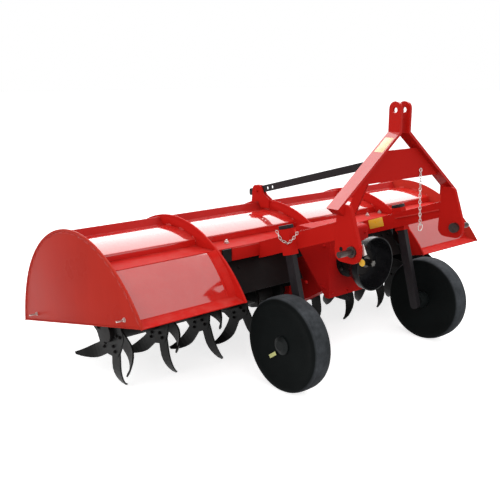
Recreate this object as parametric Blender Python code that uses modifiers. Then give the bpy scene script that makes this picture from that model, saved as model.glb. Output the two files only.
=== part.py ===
"""Rotary tiller for a tractor's three point hitch, in metres, +Z up, tractor side towards -Y.

Places along the machine are measured from the rotor's axis, minus towards the tractor, and
heights from the ground. The empty "tiller" carries every piece and sets the model's origin.
"right" is the side at -X, as seen by the driver.
"""
import math

import bmesh
import bpy
from mathutils import Matrix, Vector

# Gaps between pieces
WELD_GAP = 0.0003
SLIDE_GAP = 0.0005
BEARING_GAP = 0.0007

# Whole machine
WIDTH = 2.56
ORIGIN_TO_ROTOR = 0.063
SIDES = (("right", -1), ("left", 1))

# Outline of the hood from its front corner: a chain of arcs that turn rearwards and down
FRONT_CORNER = (-0.438, 0.437)
FRONT_HEADING = math.radians(56.3)
HOOD_ARCS = (  # radius, sweep in degrees
    (0.774, 36.6),
    (0.590, 86.8),
    (0.741, 18.7),
)
ARC_STEP = math.radians(6.0)

# Plates and sheets of the hood
END_PLATE = 0.008
RIB_PLATE = 0.010
RIB_PLACE = 0.702
RIB_DEPTH = 0.054
SHEET = 0.005
REAR_DEPTH = 0.012
STEP_FOOT = 0.235
STEP_HEAD = 0.262
PANEL_RECESS = 0.018
PANEL_SHEET = 0.005
INNER_LEG = 0.115

# Box beam across the front
BEAM_REAR = -0.054
BEAM_FRONT = -0.205
BEAM_TOP = 0.645
BEAM_BOTTOM = 0.578
BEAM_WALL = 0.008

# Arms that carry the hitch
ARM_OUTER = 0.416
ARM_PLATE = 0.016
ARM_DEPTH = 0.080
ARM_SLOPE = math.radians(19.4)

# Lower hitch plates and pins
HITCH_PLATE = 0.020
HITCH_REAR = -0.722
HITCH_REAR_TOP = -0.731
HITCH_FRONT_TOP = -0.806
HITCH_FRONT = -0.870
HITCH_BOTTOM = 0.650
HITCH_SHOULDER = 0.735
HITCH_HEAD_GAP = 0.0012
HITCH_HEAD_ROUND = 0.022
HITCH_FOOT_ROUND = 0.042
LOWER_PIN = (-0.828, 0.707)
LOWER_PIN_COLLAR = 0.010
LOWER_PIN_RADIUS = 0.0143
LOWER_PIN_TIP = 0.504
LOWER_PIN_NUT = 0.026
LOWER_PIN_NUT_LENGTH = 0.022

# Mast
MAST_BAR = 0.014
MAST_BAR_WIDTH = 0.070
MAST_TOP = 1.358
MAST_PLACE = -0.743
MAST_GAP = 0.056
MAST_BEND = MAST_TOP - 0.143
MAST_FLARE = 0.462
MAST_FLARE_HEIGHT = 0.896
MAST_FOOT = MAST_FLARE_HEIGHT - 0.034
TOP_PIN_DROP = 0.041
TOP_PIN_HOLE = 0.0130
GUSSET_PLATE = 0.008
GUSSET_PLACE = -0.745
GUSSET_BOTTOM = MAST_BEND - 0.721 * (MAST_BEND - MAST_FLARE_HEIGHT)
GUSSET_TOP = MAST_BEND - 0.263 * (MAST_BEND - MAST_FLARE_HEIGHT)
MAST_STRUT = 0.012
MAST_STRUT_FOOT = -0.422
MAST_STRUT_HEAD = -0.575
MAST_STRUT_WIDTH = 0.060

# Brace from the mast to the middle rib
BRACE_BAR = 0.010
BRACE_DEPTH = 0.041
BRACE_REAR_END = 0.337
BRACE_END_ROUND = 0.012
BRACE_PIN = (0.260, 0.8175)
BRACE_PIN_RADIUS = 0.010
BRACE_PIN_STUB = 0.012
BRACE_FRONT_HEIGHT = GUSSET_TOP - 0.042
BRACE_HOLE_PITCH = 0.040
BRACE_HOLES = 4
EAR_PLATE = 0.008
EAR_OUTLINE = (  # from the pin: rearwards, up, radius of the corner
    (0.050, -0.080, 0.0),
    (0.036, 0.030, 0.026),
    (-0.034, 0.030, 0.026),
    (-0.058, -0.018, 0.030),
    (-0.104, -0.042, 0.0),
    (-0.104, -0.095, 0.0),
    (-0.034, -0.095, 0.0),
    (-0.012, -0.064, 0.0),
)

# Gearbox, drive case and input
GEARBOX_HALF_WIDTH = 0.150
GEARBOX_FRONT = -0.455
GEARBOX_TOP = 0.700
GEARBOX_BOTTOM = 0.345
GEARBOX_SHOULDER = 0.600
GEARBOX_TOE = -0.431
GEARBOX_ROUND = 0.020
CASE_HALF_WIDTH = 0.055
CASE_RADIUS = 0.120
CASE_BOSS_RADIUS = 0.080
CASE_BOSS = 0.014
INPUT_HEIGHT = 0.540
NOSE_RADIUS = 0.076
NOSE_FLANGE_RADIUS = 0.100
NOSE_FLANGE = 0.014
NOSE_LENGTH = 0.098
NOSE_CHAMFER = 0.004
GUARD_REAR_RADIUS = 0.112
GUARD_RADIUS = 0.138
GUARD_REAR = -0.545
GUARD_STEP = -0.594
GUARD_FRONT = -0.632
GUARD_WALL = 0.004
PTO_RADIUS = 0.0175
PTO_END = -0.620
PTO_COLLAR_RADIUS = 0.030
PTO_COLLAR = 0.018

# Rotor
TIP_RADIUS = 0.2815
TIP_CLEARANCE = 0.0045
ROTOR_HEIGHT = TIP_RADIUS + TIP_CLEARANCE
SHAFT_RADIUS = 0.045
SHAFT_WALL = 0.010
SHAFT_END = WIDTH / 2.0 - 0.068
FLANGE_RADIUS = 0.115
FLANGE_CORNER = 0.035
FLANGE_PLATE = 0.012
FIRST_DISC = 0.160
LAST_DISC = SHAFT_END - 0.027
DISCS_PER_SIDE = 5
BLADES_PER_DISC = 6
BLADE_PLATE = 0.008
BLADE_STEPS = 9
BLADE_ROOT = 0.075
BLADE_KNEE = 0.150
BLADE_CURL = 0.165
BLADE_CURL_ANGLE = math.radians(54.0)
BLADE_OFFSET = 0.050
BLADE_TIP_OFFSET = 0.020
BLADE_WIDTH = 0.070
BLADE_TIP_WIDTH = 0.014
BLADE_TAPER_FROM = 0.45

# Gauge wheels and the struts that carry them
WHEEL_RADIUS = 0.234
WHEEL_INNER = 0.501
WHEEL_OUTER = 0.609
WHEEL_SHOULDER = 0.024
WHEEL_DISH = 0.012
WHEEL_RIM_RADIUS = 0.190
WHEEL_DISH_RADIUS = 0.1045
WHEEL_BORE = 0.0455
WHEEL_PLACE = -0.573
HUB_RADIUS = 0.045
HUB_CAP = 0.010
HUB_OVERHANG = 0.004
HUB_CHAMFER = 0.008
HUB_NECK = 0.010
AXLE_RADIUS = 0.018
STRUT_THICK = 0.030
STRUT_WIDTH = 0.048
STRUT_TILT = math.radians(15.6)
STRUT_TOP = 0.740
STRUT_FOOT = 0.040
STRUT_FOOT_ROUND = 0.020
AXLE_ROOT = 0.004
SLEEVE_WALL = 0.007
SLEEVE_BOTTOM = 0.630
SLEEVE_TOP = 0.752

# Colours (linear), metallic, roughness
FINISHES = {
    "red_paint": ((0.45, 0.025, 0.018), 0.0, 0.28),
    "dark_steel": ((0.045, 0.042, 0.046), 0.6, 0.50),
    "black_paint": ((0.012, 0.012, 0.013), 0.1, 0.42),
    "bare_steel": ((0.42, 0.42, 0.43), 0.9, 0.36),
    "black_rubber": ((0.022, 0.023, 0.026), 0.0, 0.62),
    "black_plastic": ((0.010, 0.011, 0.011), 0.0, 0.45),
}


def clear_scene():
    for item in list(bpy.data.objects):
        bpy.data.objects.remove(item, do_unlink=True)


def make_collection(name):
    collection = bpy.data.collections.new(name)
    bpy.context.scene.collection.children.link(collection)
    return collection


def make_materials():
    materials = {}
    for name, (colour, metallic, roughness) in FINISHES.items():
        material = bpy.data.materials.new(name)
        material.use_nodes = True
        shader = material.node_tree.nodes["Principled BSDF"]
        shader.inputs["Base Color"].default_value = (*colour, 1.0)
        shader.inputs["Metallic"].default_value = metallic
        shader.inputs["Roughness"].default_value = roughness
        materials[name] = material
    return materials


def add_empty(name, location, parent=None):
    empty = bpy.data.objects.new(name, None)
    empty.location = location
    empty.parent = parent
    PARTS.objects.link(empty)
    return empty


def add_object(name, data, parent, finish=None, tool=False):
    item = bpy.data.objects.new(name, data)
    item.parent = parent
    if tool:
        item.hide_render = True
        item.display_type = "WIRE"
        TOOLS.objects.link(item)
    else:
        PARTS.objects.link(item)
    if finish:
        data.materials.clear()
        data.materials.append(MATERIALS[finish])
    return item


# Outlines


def rounded(points, radii, steps=4):
    """The closed outline with an arc of the given radius at each corner."""
    outline = []
    count = len(points)
    for index, radius in enumerate(radii):
        corner = Vector(points[index])
        before = (Vector(points[index - 1]) - corner).normalized()
        after = (Vector(points[(index + 1) % count]) - corner).normalized()
        if radius <= 0.0:
            outline.append(tuple(corner))
            continue
        half = before.angle(after) / 2.0
        start = corner + before * radius / math.tan(half)
        centre = corner + (before + after).normalized() * radius / math.sin(half)
        first = start - centre
        turn = math.pi - 2.0 * half
        if before.x * after.y - before.y * after.x > 0.0:
            turn = -turn
        for step in range(steps + 1):
            swung = Matrix.Rotation(turn * step / steps, 2) @ first
            outline.append(tuple(centre + swung))
    return outline


def circle(centre, radius, steps=24, phase=0.0):
    turn = 2.0 * math.pi / steps
    return [
        (centre[0] + radius * math.cos(phase + turn * k), centre[1] + radius * math.sin(phase + turn * k))
        for k in range(steps)
    ]


def hood_curve(inset=0.0, front=None):
    """Front to rear along the hood's outline, moved inwards by inset, from the place front on."""
    heading = FRONT_HEADING
    place = Vector(FRONT_CORNER)
    points = []
    for radius, sweep in HOOD_ARCS:
        sweep = math.radians(sweep)
        centre = place + radius * Vector((math.sin(heading), -math.cos(heading)))
        steps = max(2, round(sweep / ARC_STEP))
        for step in range(0 if not points else 1, steps + 1):
            angle = heading - sweep * step / steps
            outward = Vector((-math.sin(angle), math.cos(angle)))
            points.append(tuple(centre + (radius - inset) * outward))
        heading -= sweep
        place = centre + radius * Vector((-math.sin(heading), math.cos(heading)))
    if front is None:
        return points
    return cut_before(points, front)


def cut_before(points, place):
    """The part of a front to rear line that lies behind place."""
    kept = [point for point in points if point[0] > place]
    before = [point for point in points if point[0] <= place][-1]
    share = (place - before[0]) / (kept[0][0] - before[0])
    return [(place, before[1] + share * (kept[0][1] - before[1]))] + kept


def cut_after(points, place):
    """The part of a front to rear line that lies in front of place."""
    kept = [point for point in points if point[0] < place]
    after = [point for point in points if point[0] >= place][0]
    share = (place - kept[-1][0]) / (after[0] - kept[-1][0])
    return kept + [(place, kept[-1][1] + share * (after[1] - kept[-1][1]))]


def bottom_edge_height(place):
    """Height of the straight lower edge of the end plates and ribs."""
    front = hood_curve()[0]
    rear = hood_curve()[-1]
    return front[1] + (rear[1] - front[1]) * (place - front[0]) / (rear[0] - front[0])


def sheet_line(inwards):
    """Front to rear along the hood sheet's outer face, moved inwards: it steps up at the rear."""
    shift = inwards / 2.0
    low = cut_after(hood_curve(RIB_DEPTH + inwards, BEAM_REAR + WELD_GAP), STEP_FOOT + shift)
    high = cut_before(hood_curve(REAR_DEPTH + inwards), STEP_HEAD + shift)
    return low + high


# Solids


def plate(name, outlines, low, high, axis, parent, finish=None, tool=False):
    """A flat plate between low and high along axis; the outlines after the first are holes.

    Outline points are (Y, Z) for axis X, (X, Z) for axis Y and (X, Y) for axis Z.
    """
    curve = bpy.data.curves.new(name, "CURVE")
    curve.dimensions = "2D"
    curve.fill_mode = "BOTH"
    curve.extrude = (high - low) / 2.0
    middle = (high + low) / 2.0
    for outline in outlines:
        spline = curve.splines.new("POLY")
        spline.points.add(len(outline) - 1)
        for point, (across, up) in zip(spline.points, outline):
            point.co = (across, up, 0.0, 1.0)
        spline.use_cyclic_u = True
    item = add_object(name, curve, parent, finish, tool)
    if axis == "X":
        item.rotation_euler = (math.pi / 2.0, 0.0, math.pi / 2.0)
        item.location = (middle, 0.0, 0.0)
    elif axis == "Y":
        item.rotation_euler = (math.pi / 2.0, 0.0, 0.0)
        item.location = (0.0, middle, 0.0)
    else:
        item.location = (0.0, 0.0, middle)
    return item


def as_mesh(item):
    """The item's evaluated shape as a plain mesh object of the same name, place and parent."""
    bpy.context.view_layer.update()
    evaluated = item.evaluated_get(bpy.context.evaluated_depsgraph_get())
    mesh = bpy.data.meshes.new_from_object(evaluated)
    shape = bmesh.new()
    shape.from_mesh(mesh)
    bmesh.ops.remove_doubles(shape, verts=shape.verts, dist=0.00001)
    shape.to_mesh(mesh)
    shape.free()
    name = item.name
    parent = item.parent
    world = item.matrix_world.copy()
    collections = list(item.users_collection)
    tool = item.hide_render
    bpy.data.objects.remove(item, do_unlink=True)
    solid = bpy.data.objects.new(name, mesh)
    for collection in collections:
        collection.objects.link(solid)
    solid.parent = parent
    solid.matrix_world = world
    if tool:
        solid.hide_render = True
        solid.display_type = "WIRE"
    return solid


def turned(name, profile, axis, place, parent, finish=None, steps=32, closed=False, tool=False):
    """A turned piece. profile holds (radius, distance along axis), far end first along its skin."""
    mesh = bpy.data.meshes.new(name)
    shape = bmesh.new()
    verts = [shape.verts.new((radius, 0.0, along)) for radius, along in profile]
    pairs = list(zip(verts, verts[1:]))
    if closed:
        pairs.append((verts[-1], verts[0]))
    for pair in pairs:
        shape.edges.new(pair)
    shape.to_mesh(mesh)
    shape.free()
    item = add_object(name, mesh, parent, finish, tool)
    item.location = place
    if axis == "X":
        item.rotation_euler = (0.0, math.pi / 2.0, 0.0)
    elif axis == "-X":
        item.rotation_euler = (0.0, -math.pi / 2.0, 0.0)
    elif axis == "-Y":
        item.rotation_euler = (math.pi / 2.0, 0.0, 0.0)
    screw = item.modifiers.new("turn", "SCREW")
    screw.axis = "Z"
    screw.steps = steps
    screw.render_steps = steps
    screw.use_merge_vertices = True
    screw.merge_threshold = 0.00005
    screw.use_smooth_shade = True
    return item


def combine(item, tool, operation):
    boolean = item.modifiers.new(operation.lower(), "BOOLEAN")
    boolean.object = tool
    boolean.operation = operation
    boolean.solver = "EXACT"
    return item


# Hood


def build_end_plates(parent):
    outer = WIDTH / 2.0
    outline = hood_curve()
    for side, sign in SIDES:
        low, high = sorted((sign * outer, sign * (outer - END_PLATE)))
        plate(f"end_plate_{side}", [outline], low, high, "X", parent, "red_paint")


def build_hood_sheet(parent):
    half = WIDTH / 2.0 - END_PLATE - WELD_GAP
    front = BEAM_REAR + WELD_GAP
    outer = sheet_line(0.0)
    inner = cut_before(sheet_line(SHEET), front + SHEET)
    flange = [(front + SHEET, BEAM_TOP), (front, BEAM_TOP)]
    plate("hood_sheet", [outer + inner[::-1] + flange], -half, half, "X", parent, "red_paint")


def build_ribs(parent):
    seat = sheet_line(-WELD_GAP)[::-1]
    top = BEAM_TOP + WELD_GAP
    front = BEAM_FRONT - WELD_GAP
    leg_place = FRONT_CORNER[0] + INNER_LEG
    round_beam = [
        (BEAM_REAR, top),
        (front, top),
        (front, BEAM_BOTTOM),
        (leg_place, bottom_edge_height(leg_place)),
    ]
    full = hood_curve() + seat + round_beam
    short = hood_curve(0.0, BEAM_FRONT) + seat + [(BEAM_REAR, top), (BEAM_FRONT, top)]
    places = (("right", -RIB_PLACE, full), ("center", 0.0, short), ("left", RIB_PLACE, full))
    for side, place, outline in places:
        low = place - RIB_PLATE / 2.0
        plate(f"rib_{side}", [outline], low, low + RIB_PLATE, "X", parent, "red_paint")


def build_beam(parent):
    half = WIDTH / 2.0 - END_PLATE - WELD_GAP
    skin = [
        (BEAM_FRONT, BEAM_BOTTOM),
        (BEAM_REAR, BEAM_BOTTOM),
        (BEAM_REAR, BEAM_TOP),
        (BEAM_FRONT, BEAM_TOP),
    ]
    bore = [
        (BEAM_FRONT + BEAM_WALL, BEAM_BOTTOM + BEAM_WALL),
        (BEAM_REAR - BEAM_WALL, BEAM_BOTTOM + BEAM_WALL),
        (BEAM_REAR - BEAM_WALL, BEAM_TOP - BEAM_WALL),
        (BEAM_FRONT + BEAM_WALL, BEAM_TOP - BEAM_WALL),
    ]
    plate("front_beam", [skin, bore], -half, half, "X", parent, "red_paint")


def build_front_panels(parent):
    rear = BEAM_FRONT - WELD_GAP
    outer = cut_after(hood_curve(PANEL_RECESS), rear)
    inner = cut_after(hood_curve(PANEL_RECESS + PANEL_SHEET), rear)
    outline = outer + inner[::-1]
    near = RIB_PLACE + RIB_PLATE / 2.0 + WELD_GAP
    far = WIDTH / 2.0 - END_PLATE - WELD_GAP
    for side, sign in SIDES:
        low, high = sorted((sign * near, sign * far))
        plate(f"front_panel_{side}", [outline], low, high, "X", parent, "red_paint")


# Hitch


def arm_height(place):
    """Height of the arms' upper edge."""
    return BEAM_TOP + (BEAM_FRONT - place) * math.tan(ARM_SLOPE)


def hitch_top():
    """The hitch plates end just below where the mast bars lean in over them."""
    return inner_face_height(ARM_OUTER + WELD_GAP) - HITCH_HEAD_GAP


def arm_front_corner(drop):
    """Where a line that lies drop below the arms' upper edge meets the hitch plates' rear edge."""
    slant = (HITCH_REAR_TOP - HITCH_REAR) / (hitch_top() - HITCH_BOTTOM)
    rise = math.tan(ARM_SLOPE)
    level = BEAM_TOP + BEAM_FRONT * rise - drop - HITCH_BOTTOM
    place = (HITCH_REAR + WELD_GAP + slant * level) / (1.0 + slant * rise)
    return (place, arm_height(place) - drop)


def build_arms(parent):
    rear = BEAM_FRONT - WELD_GAP
    drop = ARM_DEPTH / math.cos(ARM_SLOPE)
    outline = [
        (rear, arm_height(rear)),
        arm_front_corner(0.0),
        arm_front_corner(drop),
        (rear, arm_height(rear) - drop),
    ]
    for side, sign in SIDES:
        low, high = sorted((sign * ARM_OUTER, sign * (ARM_OUTER - ARM_PLATE)))
        plate(f"arm_{side}", [outline], low, high, "X", parent, "red_paint")


def build_hitch_plates(parent):
    corners = [
        (HITCH_REAR, HITCH_BOTTOM),
        (HITCH_REAR_TOP, hitch_top()),
        (HITCH_FRONT_TOP, hitch_top()),
        (HITCH_FRONT, HITCH_SHOULDER),
        (HITCH_FRONT, HITCH_BOTTOM),
    ]
    head = HITCH_HEAD_ROUND
    foot = HITCH_FOOT_ROUND
    outline = rounded(corners, (foot, head, head, foot, foot))
    hole = circle(LOWER_PIN, LOWER_PIN_RADIUS + SLIDE_GAP)
    collar = ARM_OUTER + WELD_GAP
    for side, sign in SIDES:
        low, high = sorted((sign * ARM_OUTER, sign * (ARM_OUTER - HITCH_PLATE)))
        plate(f"hitch_plate_{side}", [outline, hole], low, high, "X", parent, "red_paint")
        inner = ARM_OUTER - HITCH_PLATE - WELD_GAP
        profile = [
            (0.0, LOWER_PIN_TIP),
            (LOWER_PIN_RADIUS, LOWER_PIN_TIP),
            (LOWER_PIN_RADIUS, collar + LOWER_PIN_COLLAR),
            (LOWER_PIN_NUT, collar + LOWER_PIN_COLLAR),
            (LOWER_PIN_NUT, collar),
            (LOWER_PIN_RADIUS, collar),
            (LOWER_PIN_RADIUS, inner),
            (LOWER_PIN_NUT, inner),
            (LOWER_PIN_NUT, inner - LOWER_PIN_NUT_LENGTH),
            (0.0, inner - LOWER_PIN_NUT_LENGTH),
        ]
        axis = "X" if sign > 0 else "-X"
        turned(f"hitch_pin_{side}", profile, axis, (0.0, *LOWER_PIN), parent, "bare_steel", 24)


def mast_slope():
    """How far the mast bars splay out for each metre they go down."""
    return (MAST_FLARE - MAST_GAP / 2.0 - MAST_BAR) / (MAST_BEND - MAST_FLARE_HEIGHT)


def mast_face(height):
    """Distance of a sloping mast bar's outer face from the middle plane."""
    return MAST_GAP / 2.0 + MAST_BAR + (MAST_BEND - height) * mast_slope()


def mast_reach():
    """Thickness of a sloping mast bar, measured level."""
    return MAST_BAR * math.hypot(1.0, mast_slope())


def inner_face_height(across):
    """Height at which a sloping bar's inner face is that far from the middle plane."""
    top = MAST_GAP / 2.0 + MAST_BAR
    return MAST_BEND - (across + mast_reach() - top) / mast_slope()


def build_mast(parent):
    inner = MAST_GAP / 2.0
    outer = inner + MAST_BAR
    seat = ARM_OUTER + WELD_GAP
    half = MAST_BAR_WIDTH / 2.0
    head = circle((MAST_PLACE, MAST_TOP - half), half, 32)
    head = [point for point in head if point[1] >= MAST_TOP - half - 0.001]
    side_outline = head + [(MAST_PLACE - half, MAST_FOOT - half), (MAST_PLACE + half, MAST_FOOT - half)]
    hole = circle((MAST_PLACE, MAST_TOP - TOP_PIN_DROP), TOP_PIN_HOLE)
    front_outline = [
        (inner, MAST_TOP),
        (outer, MAST_TOP),
        (outer, MAST_BEND),
        (MAST_FLARE, MAST_FLARE_HEIGHT),
        (seat, MAST_FOOT),
        (seat, inner_face_height(seat)),
        (inner, inner_face_height(inner)),
    ]
    near = MAST_PLACE - MAST_BAR_WIDTH
    far = MAST_PLACE + MAST_BAR_WIDTH
    for side, sign in SIDES:
        outline = [(sign * across, height) for across, height in front_outline]
        bent = plate(f"mast_leg_{side}", [outline], near, far, "Y", parent, "red_paint")
        low, high = sorted((0.0, sign * (MAST_FLARE + MAST_BAR)))
        shape = plate(f"mast_side_{side}", [side_outline, hole], low, high, "X", parent, tool=True)
        combine(as_mesh(bent), as_mesh(shape), "INTERSECT")


def build_gusset(parent):
    inner = mast_reach() + WELD_GAP * 2.0
    low_half = mast_face(GUSSET_BOTTOM) - inner
    high_half = mast_face(GUSSET_TOP) - inner
    outline = [
        (-low_half, GUSSET_BOTTOM),
        (low_half, GUSSET_BOTTOM),
        (high_half, GUSSET_TOP),
        (-high_half, GUSSET_TOP),
    ]
    plate("mast_gusset", [outline], GUSSET_PLACE - GUSSET_PLATE, GUSSET_PLACE, "Y", parent, "red_paint")


def build_mast_strut(parent):
    """From the gearbox up to the underside of the brace."""
    half = MAST_STRUT_WIDTH / 2.0
    foot = GEARBOX_TOP + WELD_GAP
    drop = BRACE_DEPTH / 2.0 + WELD_GAP * 2.0
    outline = [
        (MAST_STRUT_FOOT - half, foot),
        (MAST_STRUT_FOOT + half, foot),
        (MAST_STRUT_HEAD + half, brace_height(MAST_STRUT_HEAD + half) - drop),
        (MAST_STRUT_HEAD - half, brace_height(MAST_STRUT_HEAD - half) - drop),
    ]
    plate("mast_strut", [outline], -MAST_STRUT / 2.0, MAST_STRUT / 2.0, "X", parent, "red_paint")


def brace_height(place):
    """Height of the brace's middle line."""
    front = GUSSET_PLACE
    share = (place - BRACE_PIN[0]) / (front - BRACE_PIN[0])
    return BRACE_PIN[1] + share * (BRACE_FRONT_HEIGHT - BRACE_PIN[1])


def build_brace(parent):
    front = GUSSET_PLACE + WELD_GAP
    rise = BRACE_DEPTH / 2.0
    corners = [
        (front, brace_height(front) - rise),
        (BRACE_REAR_END, brace_height(BRACE_REAR_END) - rise),
        (BRACE_REAR_END, brace_height(BRACE_REAR_END) + rise),
        (front, brace_height(front) + rise),
    ]
    outline = rounded(corners, (0.0, BRACE_END_ROUND, BRACE_END_ROUND, 0.0))
    holes = []
    for index in range(BRACE_HOLES):
        place = BRACE_PIN[0] - BRACE_HOLE_PITCH * index
        holes.append(circle((place, brace_height(place)), BRACE_PIN_RADIUS + SLIDE_GAP, 16))
    plate("top_brace", [outline, *holes], -BRACE_BAR / 2.0, BRACE_BAR / 2.0, "X", parent, "dark_steel")


def build_brace_ear(parent):
    near = max(RIB_PLATE, BRACE_BAR) / 2.0 + WELD_GAP
    corners = [(BRACE_PIN[0] + back, BRACE_PIN[1] + up) for back, up, radius in EAR_OUTLINE]
    outline = rounded(corners, [radius for back, up, radius in EAR_OUTLINE])
    reach = near + EAR_PLATE
    stub = reach + BRACE_PIN_STUB
    pin_profile = [(0.0, stub), (BRACE_PIN_RADIUS, stub), (BRACE_PIN_RADIUS, -stub), (0.0, -stub)]
    pin = turned("brace_ears", pin_profile, "X", (0.0, *BRACE_PIN), parent, "red_paint", 16)
    pin = as_mesh(pin)
    for side, sign in SIDES:
        low, high = sorted((sign * near, sign * reach))
        ear = plate(f"brace_ear_{side}", [outline], low, high, "X", parent, tool=True)
        combine(pin, as_mesh(ear), "UNION")


# Drive


def build_gearbox(parent):
    rear = BEAM_FRONT - WELD_GAP
    corners = [
        (rear, GEARBOX_TOP),
        (GEARBOX_FRONT, GEARBOX_TOP),
        (GEARBOX_FRONT, GEARBOX_BOTTOM),
        (GEARBOX_TOE, GEARBOX_BOTTOM),
        (rear, GEARBOX_SHOULDER),
    ]
    outline = rounded(corners, (GEARBOX_ROUND, GEARBOX_ROUND, 0.0, 0.0, 0.0))
    plate("gearbox", [outline], -GEARBOX_HALF_WIDTH, GEARBOX_HALF_WIDTH, "X", parent, "red_paint")


def build_drive_case(parent):
    toe = Vector((GEARBOX_TOE, GEARBOX_BOTTOM))
    shoulder = Vector((BEAM_FRONT - WELD_GAP, GEARBOX_SHOULDER))
    run = shoulder - toe
    away = Vector((run.y, -run.x)).normalized() * WELD_GAP
    seat = [toe + run * share + away for share in (0.15, 0.80)]
    ring = circle((0.0, ROTOR_HEIGHT), CASE_RADIUS, 36)
    mesh = bpy.data.meshes.new("drive_case")
    shape = bmesh.new()
    for across in (-CASE_HALF_WIDTH, CASE_HALF_WIDTH):
        for place, height in [tuple(point) for point in seat] + ring:
            shape.verts.new((across, place, height))
    hull = bmesh.ops.convex_hull(shape, input=shape.verts)
    spare = [item for item in hull["geom_interior"] if isinstance(item, bmesh.types.BMVert)]
    bmesh.ops.delete(shape, geom=spare, context="VERTS")
    bmesh.ops.dissolve_limit(shape, angle_limit=0.002, verts=shape.verts, edges=shape.edges)
    shape.to_mesh(mesh)
    shape.free()
    case = add_object("drive_case", mesh, parent, "red_paint")
    half = CASE_HALF_WIDTH + CASE_BOSS
    profile = [(0.0, half), (CASE_BOSS_RADIUS, half), (CASE_BOSS_RADIUS, -half), (0.0, -half)]
    boss = turned("case_boss", profile, "X", (0.0, 0.0, ROTOR_HEIGHT), parent, steps=36, tool=True)
    combine(case, boss, "UNION")


def build_input(frame, spinner):
    """Input nose and guard on the gearbox, and the splined shaft that turns in them."""
    seat = -GEARBOX_FRONT + WELD_GAP
    nose_end = seat + NOSE_LENGTH
    nose_profile = [
        (0.0, nose_end),
        (NOSE_RADIUS - NOSE_CHAMFER, nose_end),
        (NOSE_RADIUS, nose_end - NOSE_CHAMFER),
        (NOSE_RADIUS, seat + NOSE_FLANGE),
        (NOSE_FLANGE_RADIUS, seat + NOSE_FLANGE),
        (NOSE_FLANGE_RADIUS, seat),
        (0.0, seat),
    ]
    place = (0.0, 0.0, INPUT_HEIGHT)
    turned("input_nose", nose_profile, "-Y", place, frame, "black_paint")
    rear = -GUARD_REAR
    step = -GUARD_STEP
    front = -GUARD_FRONT
    inner = NOSE_RADIUS + WELD_GAP
    guard_profile = [
        (GUARD_RADIUS, front),
        (GUARD_RADIUS, step),
        (GUARD_REAR_RADIUS, rear),
        (inner, rear),
        (inner, rear + GUARD_WALL),
        (GUARD_REAR_RADIUS - GUARD_WALL, rear + GUARD_WALL),
        (GUARD_RADIUS - GUARD_WALL, step),
        (GUARD_RADIUS - GUARD_WALL, front),
    ]
    turned("pto_guard", guard_profile, "-Y", place, frame, "black_plastic", closed=True)
    start = nose_end + BEARING_GAP
    shaft_profile = [
        (0.0, -PTO_END),
        (PTO_RADIUS, -PTO_END),
        (PTO_RADIUS, start + PTO_COLLAR),
        (PTO_COLLAR_RADIUS, start + PTO_COLLAR),
        (PTO_COLLAR_RADIUS, start),
        (0.0, start),
    ]
    turned("pto_shaft", shaft_profile, "-Y", (0.0, 0.0, 0.0), spinner, "bare_steel", 24)


# Rotor


def blade_point(along, across):
    """Middle surface of a blade on a disc: along runs from root to tip, across from -1 to 1.

    It leaves the disc straight, beside the radius, then curls out to one side.
    """
    straight = BLADE_KNEE - BLADE_ROOT
    run = along * (straight + BLADE_CURL * BLADE_CURL_ANGLE)
    angle = max(0.0, run - straight) / BLADE_CURL
    reach = BLADE_ROOT + min(run, straight) + BLADE_CURL * math.sin(angle)
    side = BLADE_CURL * (1.0 - math.cos(angle))
    offset = BLADE_OFFSET + (BLADE_TIP_OFFSET - BLADE_OFFSET) * along ** 3
    taper = max(0.0, along - BLADE_TAPER_FROM) / (1.0 - BLADE_TAPER_FROM)
    width = BLADE_WIDTH + (BLADE_TIP_WIDTH - BLADE_WIDTH) * taper ** 1.5
    point = Vector((side, -offset + across * width / 2.0, -reach))
    length = math.hypot(point.y, point.z)
    if length > TIP_RADIUS:
        point.y *= TIP_RADIUS / length
        point.z *= TIP_RADIUS / length
    return point


def blade_ring(parent):
    """All the blades of a disc as one tool: they bend to either side in turn."""
    mesh = bpy.data.meshes.new("blades")
    shape = bmesh.new()
    for blade in range(BLADES_PER_DISC):
        grid = bmesh.ops.create_grid(shape, x_segments=BLADE_STEPS, y_segments=1, size=1.0)
        hand = 1.0 if blade % 2 == 0 else -1.0
        swing = Matrix.Rotation(2.0 * math.pi * blade / BLADES_PER_DISC, 3, "X")
        for vert in grid["verts"]:
            point = blade_point((vert.co.x + 1.0) / 2.0, vert.co.y)
            point.x *= hand
            vert.co = swing @ point
    bmesh.ops.recalc_face_normals(shape, faces=shape.faces)
    shape.to_mesh(mesh)
    shape.free()
    blades = add_object("blades", mesh, parent, tool=True)
    solidify = blades.modifiers.new("thickness", "SOLIDIFY")
    solidify.thickness = BLADE_PLATE
    solidify.offset = 0.0
    solidify.use_even_offset = True
    return blades


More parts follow.
